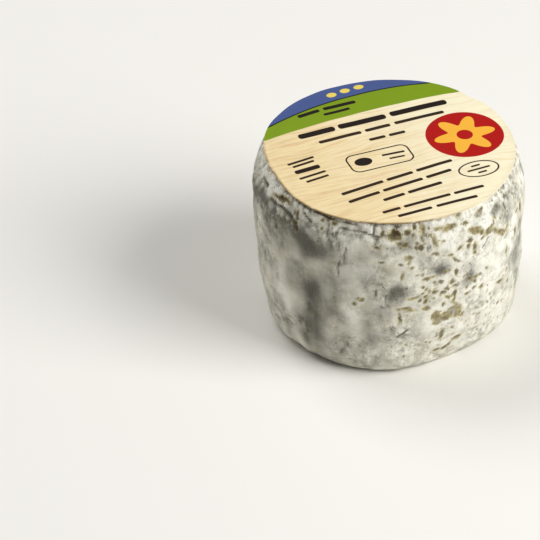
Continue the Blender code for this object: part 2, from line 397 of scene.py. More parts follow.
# Pits, which are smaller and darker, given as the patches are
SHOWN_PITS = (
    (-83.1, 19.2, 0.38, 0.85, 0), (-83.6, 18, 0.4, 0.35, 0), (-83.2, 21.1, 0.38, 0.34, 0),
    (-84.6, 22.2, 0.55, 0.28, -20), (-86.8, 20.9, 0.42, 0.26, -15), (-88.8, 20.1, 0.62, 0.38, 10),
    (-92.3, 20.9, 0.52, 0.42, 0), (-90, 22.8, 0.46, 0.42, 0), (-92.9, 23, 0.32, 0.32, 0),
    (-86.5, 19, 0.42, 0.36, 0), (-93.3, 19.4, 0.24, 0.24, 0), (-96.3, 19.9, 0.42, 0.36, 0),
    (-96.8, 19, 0.36, 0.24, 45), (-98.4, 22.6, 0.24, 0.32, 0), (-98.2, 21, 0.24, 0.26, 0),
    (-95.2, 21.1, 0.2, 0.32, 0), (-98.2, 25.4, 0.26, 0.32, 0), (-100.7, 25.6, 0.32, 0.22, 0),
    (-82.6, 24.2, 0.4, 0.75, 10), (-103.5, 27.2, 0.42, 0.2, 35), (-107.8, 28.3, 0.3, 0.22, 0),
    (-98.7, 31.4, 0.52, 0.48, 0), (-101, 31.5, 0.26, 0.3, 0), (-98.6, 33.2, 0.2, 0.52, 15),
    (-101.3, 35.3, 0.42, 0.3, 0), (-104.5, 34.6, 0.52, 0.48, 0), (-106, 32.4, 0.48, 0.42, 0),
    (-108.7, 32.6, 0.4, 0.28, 0), (-77.6, 34, 0.58, 0.44, 0), (-70.6, 34.2, 0.34, 0.42, 15),
    (-67.6, 34.9, 0.28, 0.26, 0), (-69.9, 30.9, 0.36, 0.22, -20), (-66.6, 30.6, 0.34, 0.44, 20),
    (-76.6, 30.5, 0.7, 0.56, 0), (-77.2, 29.2, 0.34, 0.42, 0), (-73.8, 28.8, 0.34, 0.72, 0),
    (-74, 27.4, 0.4, 0.36, 0), (-81.5, 29.6, 0.42, 0.24, 40), (-83, 27.2, 0.95, 0.22, -35),
    (-93.4, 29.8, 0.36, 0.24, 0), (-86, 28.6, 0.3, 0.24, 0), (-75.5, 21.6, 0.42, 0.42, 0),
    (-71.6, 21.2, 0.55, 0.3, 5), (-72.5, 20.2, 0.3, 0.36, 0), (-72.7, 18.8, 0.5, 0.26, 10),
    (-76.3, 18.2, 0.5, 0.26, -10), (-67.6, 18, 0.34, 0.48, 0), (-108.3, 15.5, 0.26, 0.95, 0),
    (-118, 31.8, 0.5, 0.22, -20), (-116, 28.9, 0.36, 0.2, 10), (-41.3, 28.8, 0.46, 0.34, 0),
    (-37, 28.6, 0.36, 1.1, 0), (-42.3, 24.6, 0.36, 0.75, 0), (-50.4, 22.2, 0.26, 0.8, 0),
    (-56, 16.4, 0.85, 0.26, -15), (-158.8, 32.3, 0.5, 0.45, 0), (-156.8, 31.5, 0.36, 0.65, 0),
    (-158.3, 34.3, 0.4, 0.4, 0), (-138.3, 35, 0.36, 0.22, 0), (-144.5, 35, 0.32, 0.26, 0),
)

# Groups of small pits: the direction, the way up, the spread round and up, how many, and the mean
# half size
PIT_GROUPS = (
    (-90, 21, 3.6, 3, 14, 0.16), (-77, 19.5, 2.4, 3.4, 12, 0.17), (-100, 33.4, 3, 1.4, 14, 0.2),
    (-64, 12, 5, 4, 26, 0.14), (-95, 8, 4, 1.6, 12, 0.18), (-168, 34.2, 4, 0.9, 10, 0.2),
    (-50, 32, 4.5, 2, 12, 0.18),
)

# Soft blue-grey smudges of mould, and on the left partly painted shade: the direction, the way up, the
# spread round and up, the strength
SHOWN_SMUDGES = (
    (-89.8, 25.7, 1.5, 1.3, 1.3), (-109, 21.6, 1.7, 2, 1.35), (-75.4, 22.2, 0.9, 1.1, 0.85),
    (-76.6, 20.7, 1.7, 1.3, 0.6), (-75, 24.2, 1.2, 1.6, 0.4), (-72.6, 21.4, 1.2, 0.8, 0.5),
    (-73.8, 28.4, 0.9, 1.2, 0.5), (-104.5, 33, 2.2, 2, 0.45), (-107.5, 32.2, 1.3, 0.9, 0.6),
    (-58.8, 33.5, 1, 1.2, 0.65), (-61.2, 32.9, 0.75, 0.9, 0.65), (-56, 33.8, 0.7, 1.3, 0.35),
    (-51.6, 31, 0.45, 1.1, 0.45), (-53, 34, 0.4, 1, 0.3), (-44.5, 31, 0.8, 1.2, 0.25),
    (-40, 28.2, 1, 1.4, 0.3), (-79, 24.7, 2.4, 1.8, 0.22), (-98, 29, 3.2, 1.8, 0.25),
    (-101, 12.5, 4.5, 3, 0.14), (-40.5, 19.4, 2.2, 4.8, 0.6), (-45, 18.4, 1.2, 2, 0.25),
    # From -184 to -144, partly mould and partly painted shade of the side turned from the light
    (-150, 29.2, 2.8, 2.2, 1), (-156, 30.8, 2, 1.6, 0.8), (-184, 31.8, 3.2, 1.2, 1.1),
    (-144, 28.2, 3, 2.2, 0.38), (-148.5, 19.2, 1.9, 2.6, 0.75), (-145, 16.5, 3, 4.6, 0.38),
    (-147.5, 11, 2.8, 3, 0.5), (-137.2, 32.8, 0.5, 0.9, 0.55),
)

# Brown stains by the label where the rind is bare, given as the smudges are
STAINS = (
    (-110.4, 34.8, 0.8, 0.65, 1), (-108.6, 34.4, 0.75, 0.5, 1), (-112.3, 33.4, 0.8, 0.55, 0.5),
    (-109.6, 35.8, 0.6, 0.5, 0.6), (-174.5, 34.3, 0.9, 0.34, 0.7), (-171.4, 34.8, 0.8, 0.4, 1.1),
    (-167, 35, 0.95, 0.4, 1.2),
)

# Thin cracks, each a run of directions and ways up. The first run starts with a line of painted shade
# at the edge of a pale bump
SHOWN_CRACKS = (
    ((-137, 32.8), (-135.5, 34.6), (-130, 34.6), (-124.5, 34.6), (-120, 34), (-115, 34.1), (-110.5, 34.2)),
    ((-119.8, 34), (-119.6, 35.7)),
    ((-131.7, 30.9), (-132.5, 29.4), (-132.7, 27.4)),
    ((-134.6, 28), (-135.4, 26), (-135.2, 24)),
    ((-109, 10.8), (-107, 11.6), (-104.5, 12.8)),
    ((-118.2, 22.6), (-118.6, 20.8)),
    ((-114.2, 21), (-114.6, 19.4), (-113.2, 18.6)),
    ((-116.4, 18.6), (-115, 18.2)),
    ((-66.5, 29.2), (-69.5, 27.5)),
    ((-155, 35), (-152, 34.4), (-149.5, 33.9)),
)

# Wider folds of the rind, given as the cracks are, drawn as dark lines of painted shade in their grooves
SHOWN_FOLDS = (
    ((-178, 32.8), (-168, 33.4), (-162, 33), (-159, 32.2), (-156.5, 31)),
    ((-190, 34), (-184, 34)),
)

# Where the bloom is thick and white, or thin and grey, with some painted shade and light on the left: the
# direction, the way up, the spread in degrees and in mm, and how much whiter
BLOOM_AND_SHADE_ZONES = (
    (-68, 18, 32, 22, 0.34), (-104, 18, 14, 16, 0.04), (-120, 6, 22, 5, 0.06),
    (-115, 15, 11, 8, -0.26), (-36, 22, 9, 10, -0.24), (-104, 33, 6, 2.2, -0.16),
    # The white rim at -182 is partly white crust and partly painted light; at -166 and -161, painted light
    # on ridges between folds
    (-182, 35, 15, 1.4, 0.7), (-166, 32.4, 3.5, 0.7, 0.3), (-161, 35, 7, 0.7, 0.3),
    # At -133, painted light on a pale bump
    (-133, 33, 2.6, 1.2, 0.34), (-87, 16.7, 3, 0.8, 0.4), (-127, 20, 9, 12, 0.3),
    # From -186 to -145, the grey zones are partly grey mould and partly painted shade of the side turned
    # from the light
    (-150.5, 18, 6.5, 15, -0.3), (-146, 25, 17, 9, -0.2), (-145, 7, 16, 6, -0.3),
    (-168, 29, 16, 4, -0.36), (-186, 30.6, 12, 2.2, -0.6), (-162, 16, 6, 10, 0.24),
    (-48, 27.5, 5, 3, 0.26), (-66, 34, 5, 2, 0.16), (20, 18, 40, 20, 0.34),
    (66, 26, 14, 7, -0.22), (106, 14, 34, 18, 0.36), (150, 24, 14, 8, -0.2),
)


def unseen_marks(draw):
    """Patches, groups of pits, smudges and cracks for the side that isn't shown, like those that are."""

    def place(levels):
        return draw.uniform(*UNSEEN_TURNS), draw.uniform(*levels)

    patches, groups, smudges, cracks = [], [], [], []
    for _ in range(UNSEEN_PATCHES):
        turn, up = place(PATCH_LEVELS)
        for _ in range(draw.randint(*PATCHES_TOGETHER)):
            wide = PATCH_LEAST + draw.random() ** 2 * PATCH_GROWTH
            tall = wide * draw.uniform(*PATCH_FLATNESS)
            patches.append((turn, up, wide, tall, draw.uniform(*PATCH_TILTS)))
            turn += draw.uniform(*PATCH_STEPS_ROUND)
            up += draw.uniform(*PATCH_STEPS_UP)
    for _ in range(UNSEEN_GROUPS):
        spread = draw.uniform(*GROUP_SPREADS)
        groups.append((*place(GROUP_LEVELS), spread, spread, GROUP_PITS, draw.uniform(*GROUP_SIZES)))
    for _ in range(UNSEEN_SMUDGES):
        spread = draw.uniform(*SMUDGE_SPREADS)
        turn, up = place(SMUDGE_LEVELS)
        tall = spread * draw.uniform(*SMUDGE_FLATNESS)
        smudges.append((turn, up, spread, tall, draw.uniform(*SMUDGE_STRENGTHS)))
    for _ in range(UNSEEN_CRACKS):
        turn, up = place(CRACK_LEVELS)
        run = [(turn, up)]
        for _ in range(draw.randint(*CRACK_PIECES)):
            turn += draw.uniform(*CRACK_STEPS_ROUND)
            up = min(CRACK_HIGHEST, up + draw.uniform(*CRACK_STEPS_UP))
            run.append((turn, up))
        cracks.append(run)
    return patches, groups, smudges, cracks


def scattered_pits(draw, groups):
    """Small pits scattered about the middles of their groups."""
    pits = []
    for direction, up, spread_round, spread_up, count, size in groups:
        for _ in range(count):
            turn = math.degrees(draw.gauss(0.0, spread_round) * MM / SIDE_RADIUS)
            wide = size * draw.uniform(*PIT_WIDTHS)
            tall = wide * draw.uniform(*PIT_FLATNESS)
            level = np.clip(draw.gauss(up, spread_up), *PIT_LEVELS)
            pits.append((direction + turn, level, wide, tall, draw.uniform(*PIT_TILTS)))
    return pits


def patch_field(rind, shapes):
    """How far inside one of the shapes each point is, in mm: above nought inside, below outside."""
    field = np.full(rind.up.shape, -1.0)
    for direction, up, wide, tall, tilt in shapes:
        across, over = rind.offsets(direction, up)
        lean = math.radians(tilt)
        along = (across * math.cos(lean) + over * math.sin(lean)) / (wide * MM)
        beside = (over * math.cos(lean) - across * math.sin(lean)) / (tall * MM)
        field = np.maximum(field, (1.0 - np.hypot(along, beside)) * min(wide, tall))
    return field


def spot_field(rind, spots):
    """Soft spots, added up to less than 1."""
    total = np.zeros(rind.up.shape)
    for direction, up, spread_round, spread_up, strength in spots:
        across, over = rind.offsets(direction, up)
        total += strength * bell(across, spread_round * MM) * bell(over, spread_up * MM)
    return 1.0 - np.exp(-total)


def crack_field(rind, cracks, width):
    """1 in the middle of a crack, falling to 0 beside it."""
    total = np.zeros(rind.up.shape)
    for crack_and_fold_line in cracks:
        for start, end in zip(crack_and_fold_line, crack_and_fold_line[1:]):
            across, over = rind.offsets(*start, push=CRACK_PUSH)
            run = math.radians(end[0] - start[0]) * SIDE_RADIUS
            rise = (end[1] - start[1]) * MM
            share = np.clip((across * run + over * rise) / (run**2 + rise**2), 0.0, 1.0)
            away = np.hypot(across - share * run, over - share * rise)
            total = np.maximum(total, bell(away, width))
    return total


def paper_edge_shadow_field(rind):
    """A painted shadow under the paper's edge: a brown line along it on the rind, strongest at the left of
    the front.
    """
    line = bell(rind.from_label + 0.16 * MM, 0.28 * MM)
    strength = 0.12 + 0.4 * rind.near(-144.0, 32.0) + 0.5 * rind.noise(2.0, (3.7, 1.9, 5.2))
    return line * np.clip(strength, 0.0, 1.0)


def wrinkle_field(rind):
    """Fine upright wrinkles on the shoulder: 1 in the groove of a wrinkle, and 0 between them."""
    grooves = 1.0 - smooth_step(np.abs(rind.stretched_noise(0.9, 2.6, (6.0, 2.0, 4.0))), 0.0, 0.16)
    patchy = smooth_step(rind.stretched_noise(3.5, 3.0, (2.0, 4.0, 6.0)), -0.15, 0.25)
    shoulder = smooth_step(rind.from_label, -9.0 * MM, -2.5 * MM)
    return grooves * patchy * shoulder


def bloom_and_shade_field(rind):
    """How thick the white bloom is, with painted shade and light on the left: 0 is bare grey rind, and 1 is
    white.
    """
    total = 0.6 + 0.34 * rind.noise(7.0, (4.4, 1.2, 8.8))
    total += 0.34 * rind.stretched_noise(2.8, 3.6, (9.1, 3.3, 0.4))
    # Upright streaks on the left: partly grey mould and partly painted shade of soft ridges
    total += 0.26 * rind.near(-155.0, 32.0) * rind.stretched_noise(3.0, 9.0, (5.0, 3.0, 8.0))
    rim = bell(rind.from_label + 1.0 * MM, 1.3 * MM)
    total += rim * (0.1 + 0.4 * rind.noise(0.9, (6.2, 2.9, 7.7)))
    for direction, up, spread_turn, spread_up, amount in BLOOM_AND_SHADE_ZONES:
        total += amount * rind.near(direction, spread_turn) * bell(rind.up - up * MM, spread_up * MM)
    return np.clip(total, 0.0, THICKEST_BLOOM)


def crust_field(rind):
    """How wrinkled and crusty the bloom is: 0 is smooth, and 1 is rough."""
    low_down = 1.0 - smooth_step(rind.up, 29.0 * MM, 32.0 * MM)
    total = 0.45 + 0.8 * rind.noise(4.5, (8.1, 5.2, 3.9))
    total += 0.35 * rind.near(-70.0, 30.0) - 0.35 * rind.near(-148.0, 20.0) * low_down
    total += 0.8 * bell(rind.from_label + 1.0 * MM, 1.6 * MM)
    total += 0.5 * rind.near(-165.0, 22.0) * (1.0 - low_down)
    return np.clip(total, 0.0, 1.0)


def rind_relief(rind, fields):
    """How far the fine relief stands out of the smooth drum."""
    shoulder = smooth_step(rind.up, 30.0 * MM, 32.5 * MM) * rind.near(-165.0, 26.0)
    rough = 0.35 + fields["crust"]
    relief = rind.lumps(*LUMPS, (2.0, 5.0, 7.0))
    relief += shoulder * rind.lumps(*SHOULDER_LUMPS, (7.0, 3.0, 4.0))
    relief += rough * rind.lumps(*CRUST_LUMPS, (8.0, 1.0, 3.0))
    relief += rough * rind.lumps(*GRAIN_LUMPS, (5.5, 4.0, 1.0))
    furrows = 1.0 - smooth_step(np.abs(rind.stretched_noise(2.2, 7.0, (3.0, 8.0, 2.0))), 0.0, 0.35)
    relief -= FURROW_DEPTH * furrows * (1.0 - fields["bloom_and_shade"])
    patches = smooth_step(fields["patch"], -0.15, 0.3)
    relief -= PATCH_DEPTH * patches * (1.0 + 0.5 * rind.noise(0.8, (0.3, 0.6, 0.9)))
    for mark, depth in MARK_DEPTHS.items():
        relief -= depth * fields[mark]
    relief *= 1.0 - smooth_step(rind.from_label, -0.3 * MM, 0.5 * MM)
    return relief * smooth_step(rind.up, 0.0, SMOOTH_FOOT)


def build_rind(label):
    """The rind as one closed mesh: the side, the top under the label and the flat foot."""
    rind = Rind(label)
    patches, groups, smudges, cracks = unseen_marks(random.Random(SEED))
    pits = scattered_pits(random.Random(SHOWN_SEED), PIT_GROUPS)
    pits += scattered_pits(random.Random(SEED), groups)
    pit_field = patch_field(rind, [*SHOWN_PITS, *pits])
    thin = crack_field(rind, [*SHOWN_CRACKS, *cracks], CRACK_WIDTH)
    thin *= 0.5 + 0.5 * smooth_step(rind.noise(2.0, (1.5, 6.5, 2.5)), -0.3, 0.3)
    fields = {
        "patch": np.maximum(patch_field(rind, [*SHOWN_PATCHES, *patches]), pit_field),
        "pit": smooth_step(pit_field, -0.15, 0.15),
        "smudge": spot_field(rind, [*SHOWN_SMUDGES, *smudges]),
        # Real stains, and the painted shadow along the paper's edge
        "stain_and_edge_shadow": np.maximum(spot_field(rind, STAINS), paper_edge_shadow_field(rind)),
        # Cracks, and painted shade along the folds
        "crack_and_fold_line": np.maximum(thin, crack_field(rind, SHOWN_FOLDS, FOLD_WIDTH)),
        "wrinkle": wrinkle_field(rind),
        "bloom_and_shade": bloom_and_shade_field(rind),
        "crust": crust_field(rind),
    }
    relief = rind_relief(rind, fields)
    # Painted shade in the relief's hollows, and painted light on its bumps
    fields["hollow_shade"] = np.clip((blurred(relief, HOLLOW_CELLS) - relief) / HOLLOW_DEPTH, -1.0, 1.0)
    points = rind.points + grid_normals(rind.points) * relief[:, :, None]
    gap = label.height_over(points) - PAPER_GAP - points[:, :, 2]
    rise = np.where(rind.from_label > 0.0, np.minimum(gap, RIND_RISE), np.clip(gap, 0.0, RIND_RISE))
    points[:, :, 2] += rise * smooth_step(rind.from_label, -RISE_REACH, 0.0)
    return close_grid("cheese_rind", set_on_floor(points), fields)


def close_grid(name, points, fields):
    """A mesh from the grid, closed by a flat foot and by a point in the middle of the top."""
    foot_middle = np.array([points[0, :, 0].mean(), points[0, :, 1].mean(), 0.0])
    foot = [foot_middle + (points[0] - foot_middle) * share for share in FOOT_RINGS]
    rings = np.concatenate([np.array(foot), points])
    places = np.concatenate([[foot_middle], rings.reshape(-1, 3), [points[-1].mean(axis=0)]])
    here = 1 + np.arange(len(rings) * COLUMNS).reshape(len(rings), COLUMNS)
    ahead = np.roll(here, -1, axis=1)
    faces = np.stack([here[:-1], ahead[:-1], ahead[1:], here[1:]], axis=2).reshape(-1, 4).tolist()
    faces += [[0, int(b), int(a)] for a, b in zip(here[0], ahead[0])]
    faces += [[int(a), int(b), len(places) - 1] for a, b in zip(here[-1], ahead[-1])]
    whole = {}
    for title, values in fields.items():
        on_foot = np.tile(values[0], len(foot))
        whole[title] = np.concatenate([[values[0].mean()], on_foot, values.ravel(), [values[-1].mean()]])
    return new_mesh(name, places, faces, whole)


def build_label(label):
    """The paper disc: the CAD label's underside, with a sheet as thin as paper on it."""
    waves = noise_at(label.under * np.array([1.0, 1.0, 0.0]), WAVE_SIZE, (3.0, 3.0, 3.0))
    over = label.under.copy()
    over[:, :, 2] += PAPER_THICKNESS + WAVE_HEIGHT * waves
    skins = [np.concatenate([[skin[0].mean(axis=0)], skin.reshape(-1, 3)]) for skin in (label.under, over)]
    size = LABEL_RINGS * LABEL_COLUMNS
    lower = 1 + np.arange(size).reshape(LABEL_RINGS, LABEL_COLUMNS)
    upper = lower + size + 1
    faces = []
    for skin, centre, flip in ((lower, 0, True), (upper, size + 1, False)):
        ahead = np.roll(skin, -1, axis=1)
        quads = np.stack([skin[:-1], skin[1:], ahead[1:], ahead[:-1]], axis=2).reshape(-1, 4)
        fans = [[centre, int(a), int(b)] for a, b in zip(skin[0], ahead[0])]
        faces += [face[::-1] if flip else face for face in quads.tolist() + fans]
    rim = (lower[-1], np.roll(lower[-1], -1), np.roll(upper[-1], -1), upper[-1])
    faces += np.stack(rim, axis=1).tolist()
    away = over[:, :, :2] - np.array(label.middle.xy)
    inset = (label.reaches[None, :] - np.hypot(away[:, :, 0], away[:, :, 1])) / MM
    inset = np.concatenate([[inset[0].mean()], inset.ravel()])
    made = new_mesh("paper_label", np.concatenate(skins), faces, {"inset": np.tile(inset, 2)})
    made.data.set_sharp_from_angle(angle=PAPER_CORNER)
    return made


# The rind's colours, and the stops of its bloom from bare to thick, which carry painted shade and light
# too, and of its patches inward
BRIGHT_BLOOM = colour(247, 245, 233)
WHITE_BLOOM = colour(231, 228, 213)
PALE_GREY = colour(203, 200, 186)
MID_GREY = colour(164, 161, 147)
DEEP_GREY = colour(108, 106, 94)
WARM_RIND = colour(206, 196, 170)
OLIVE = colour(143, 130, 80)
KHAKI = colour(176, 164, 118)
PALE_KHAKI = colour(212, 200, 150)
CREASE_GREY = colour(150, 146, 130)
BARE_EDGE = colour(98, 88, 58)
COOL_GREY = colour(186, 188, 184)
BLUE_GREY = colour(93, 91, 81)
# The brown of the stains, and of the painted shadow along the paper's edge
STAIN_AND_SHADOW_BROWN = colour(72, 52, 12)
# The dark of the cracks, and of the painted shade along the folds and a bump's edge
CRACK_DARK_AND_FOLD_SHADE = colour(76, 72, 60)
DARKER, LIGHTER = (0.88, 0.88, 0.88, 1.0), (1.08, 1.08, 1.08, 1.0)
BLOOM_AND_SHADE_STOPS = (
    (0.0, DEEP_GREY),
    (0.3, MID_GREY),
    (0.58, PALE_GREY),
    (0.84, WHITE_BLOOM),
    (1.0, BRIGHT_BLOOM),
)
PATCH_STOPS = ((0.05, PALE_KHAKI), (0.38, KHAKI), (0.66, OLIVE), (0.95, BARE_EDGE))
FLOOR_TINT = colour(247, 245, 240)

MM_IN_METRE = (1000.0, 1000.0, 1000.0)

# The sockets of a Mix node that take the two colours, and the one that gives their mix
MIX_FIRST, MIX_SECOND, MIX_RESULT = 6, 7, 2


class Graph:
    """Builds a material from nodes. Most of its methods add a node and return its output."""

    def __init__(self, name):
        self.material = bpy.data.materials.new(name)
        self.material.use_nodes = True
        self.tree = self.material.node_tree

    def feed(self, socket, value):
        """Links an output to a socket, or sets a plain value on it."""
        if isinstance(value, bpy.types.NodeSocket):
            self.tree.links.new(value, socket)
        elif value is not None:
            socket.default_value = value

    def shade(self, name, value):
        """Feeds one of the surface shader's own sockets."""
        self.feed(self.tree.nodes["Principled BSDF"].inputs[name], value)

    def add(self, kind, sockets, **settings):
        """A new node of a kind with its settings, whose sockets are fed by name or number."""
        node = self.tree.nodes.new("ShaderNode" + kind)
        for name, setting in settings.items():
            setattr(node, name, setting)
        for socket, value in sockets.items():
            self.feed(node.inputs[socket], value)
        return node

    def math(self, operation, *values):
        return self.add("Math", dict(enumerate(values)), operation=operation).outputs[0]

    def plus(self, first, second):
        return self.math("ADD", first, second)

    def times(self, first, second, plus=None):
        """The product of two values, and with a third one added if there is one."""
        if plus is None:
            return self.math("MULTIPLY", first, second)
        return self.math("MULTIPLY_ADD", first, second, plus)

    def vector(self, operation, *values):
        node = self.add("VectorMath", dict(enumerate(values)), operation=operation)
        return node.outputs["Value" if operation in ("LENGTH", "DOT_PRODUCT") else "Vector"]

    def place(self):
        """The point's own place in the row frame, in millimetres."""
        return self.vector("MULTIPLY", self.add("TexCoord", {}).outputs["Object"], MM_IN_METRE)

    def attribute(self, name):
        return self.add("Attribute", {}, attribute_name=name).outputs["Fac"]

    def noise(self, place, scale, detail=2.0, rough=0.5, output="Fac"):
        sockets = {"Vector": place, "Scale": scale, "Detail": detail, "Roughness": rough}
        return self.add("TexNoise", sockets).outputs[output]

    def warped(self, place, scale, amount):
        """The place pushed about by noise, up to about half the amount each way."""
        push = self.vector("SUBTRACT", self.noise(place, scale, output="Color"), (0.5, 0.5, 0.5))
        return self.vector("MULTIPLY_ADD", push, (amount, amount, amount), place)

    def cells(self, place, scale, feature="F1"):
        sockets = {"Vector": place, "Scale": scale}
        return self.add("TexVoronoi", sockets, feature=feature).outputs["Distance"]

    def step(self, value, low, high, to_low=0.0, to_high=1.0, kind="SMOOTHSTEP"):
        """Carries the span from low to high over to the one from to_low to to_high, and stays in it."""
        sockets = dict(enumerate((value, low, high, to_low, to_high)))
        return self.add("MapRange", sockets, interpolation_type=kind).outputs["Result"]

    def mix(self, share, first, second, blend="MIX"):
        sockets = {"Factor": share, MIX_FIRST: first, MIX_SECOND: second}
        return self.add("Mix", sockets, data_type="RGBA", blend_type=blend).outputs[MIX_RESULT]

    def ramp(self, value, stops):
        """A colour that runs through the stops, each a place and a colour."""
        node = self.add("ValToRGB", {"Fac": value})
        points = node.color_ramp.elements
        while len(points) < len(stops):
            points.new(0.5)
        for point, (place, tint) in zip(points, stops):
            point.position = place
            point.color = tint
        return node.outputs["Color"]

    def split(self, vector):
        return self.add("SeparateXYZ", {0: vector}).outputs

    def join(self, x, y):
        return self.add("CombineXYZ", {0: x, 1: y}).outputs[0]

    def bump(self, height, distance, strength, before=None):
        sockets = {"Height": height, "Distance": distance, "Strength": strength, "Normal": before}
        return self.add("Bump", sockets).outputs["Normal"]


def rind_material():
    """Bloom over grey rind, with olive patches, blue-grey smudges, stains, cracks, specks and painted
    shade.
    """
    graph = Graph("rind_bloom")
    place = graph.place()
    grain = graph.noise(place, 2.4, 4.0, 0.62)
    fine = graph.noise(place, 6.0, 3.0, 0.6)
    clouds = graph.noise(graph.vector("ADD", place, (2.0, 8.0, 15.0)), 0.8, 3.0, 0.6)
    crust = graph.attribute("crust")
    rough = graph.times(crust, 0.8, plus=0.2)
    uneven = graph.step(grain, 0.25, 0.75, -0.24, 0.24, "LINEAR")
    uneven = graph.plus(uneven, graph.step(clouds, 0.3, 0.7, -0.24, 0.24, "LINEAR"))
    bloom_and_shade = graph.times(uneven, rough, plus=graph.attribute("bloom_and_shade"))
    # Painted shade in the hollows of the fine relief, and painted light on its bumps
    bloom_and_shade = graph.times(graph.times(graph.attribute("hollow_shade"), rough), -0.42, plus=bloom_and_shade)
    bloom_and_shade = graph.times(graph.attribute("wrinkle"), -0.36, plus=bloom_and_shade)
    base = graph.ramp(bloom_and_shade, BLOOM_AND_SHADE_STOPS)
    warmth = graph.noise(graph.vector("ADD", place, (31.0, 7.0, 3.0)), 0.35, 3.0, 0.55)
    base = graph.mix(graph.step(warmth, 0.5, 0.74, 0.0, 0.4), base, WARM_RIND)
    base = graph.mix(graph.step(warmth, 0.28, 0.46, 0.35, 0.0), base, COOL_GREY)
    base = graph.mix(1.0, base, graph.mix(fine, DARKER, LIGHTER), "MULTIPLY")

    folds = graph.cells(graph.warped(place, 1.4, 0.7), 1.05, "DISTANCE_TO_EDGE")
    creases = graph.step(folds, 0.0, 0.15, 1.0, 0.0)
    broken = graph.step(graph.noise(place, 0.9), 0.44, 0.6)
    creases = graph.times(creases, graph.times(broken, graph.step(crust, 0.1, 0.8)))
    base = graph.mix(graph.times(creases, 0.36), base, CREASE_GREY)

    ridge = graph.step(graph.attribute("patch"), -0.75, -0.35, 0.0, 0.45)
    base = graph.mix(graph.times(ridge, graph.step(bloom_and_shade, 0.15, 0.55)), base, WHITE_BLOOM)
    smudge = graph.times(graph.attribute("smudge"), graph.step(grain, 0.25, 0.7, 0.8, 1.25))
    base = graph.mix(graph.step(smudge, 0.06, 0.76, 0.0, 0.92), base, BLUE_GREY)

    speck_size = graph.cells(graph.vector("ADD", place, (3.0, 9.0, 5.0)), 0.85)
    speck_zone = graph.noise(place, 0.22, 1.0)
    speck_edge = graph.step(fine, 0.2, 0.8, -0.12, 0.12)
    specks = graph.step(graph.plus(speck_size, speck_edge), 0.12, 0.21, 1.0, 0.0)
    specks = graph.times(specks, graph.step(speck_zone, 0.42, 0.6, 0.0, 0.7))
    base = graph.mix(graph.times(specks, graph.step(crust, 0.2, 0.6)), base, BARE_EDGE)

    pit = graph.attribute("pit")
    wander = graph.step(fine, 0.2, 0.8, -0.1, 0.1, "LINEAR")
    wander = graph.plus(wander, graph.step(grain, 0.3, 0.7, -0.16, 0.16, "LINEAR"))
    wander = graph.times(wander, graph.times(pit, -0.6, plus=1.0))
    patch = graph.plus(graph.attribute("patch"), wander)
    strong = graph.step(graph.noise(place, 0.45, 2.0, 0.6), 0.32, 0.5, 0.6, 1.0)
    worn = graph.times(graph.step(patch, -0.36, 0.08), graph.math("MAXIMUM", strong, pit))
    mottle = graph.noise(place, 0.9, 2.0, 0.55)
    inside = graph.math("MINIMUM", patch, 0.25)
    depth = graph.times(mottle, -2.2, plus=graph.times(inside, 0.8, plus=1.66))
    depth = graph.times(pit, 0.4, plus=depth)
    base = graph.mix(graph.times(worn, 0.92), base, graph.ramp(depth, PATCH_STOPS))

    # Brown stains, and the painted shadow along the paper's edge
    stain_and_edge_shadow = graph.plus(graph.attribute("stain_and_edge_shadow"), graph.step(fine, 0.2, 0.8, -0.25, 0.25))
    base = graph.mix(graph.step(stain_and_edge_shadow, 0.2, 0.62, 0.0, 0.97), base, STAIN_AND_SHADOW_BROWN)
    # Dark cracks, and painted shade along the folds
    base = graph.mix(graph.times(graph.attribute("crack_and_fold_line"), 0.85), base, CRACK_DARK_AND_FOLD_SHADE)
    graph.shade("Base Color", base)

    height = graph.plus(graph.times(fine, 0.7), graph.times(creases, -0.5))
    height = graph.times(worn, -0.35, plus=height)
    graph.shade("Normal", graph.bump(height, 0.12 * MM, 0.9))
    graph.shade("Roughness", graph.step(worn, 0.0, 1.0, 0.92, 0.72))
    graph.shade("Specular IOR Level", 0.3)
    graph.shade("Sheen Weight", 0.08)
    graph.shade("Sheen Roughness", 0.6)
    return graph.material


# The label's colours
CREAM = colour(253, 244, 211)
CREAM_TAN = colour(245, 224, 176)
CREAM_GRAIN = colour(226, 194, 144)
FIELD_GREEN = colour(126, 155, 18)
FIELD_BLUE = colour(72, 90, 145)
INK = colour(28, 15, 5)
SOFT_INK = colour(48, 30, 14)
DAMP_BROWN = colour(128, 98, 52)
DISC_RED = colour(178, 8, 2)
PETAL_YELLOW = colour(250, 184, 60)
SUN_YELLOW = colour(238, 216, 100)

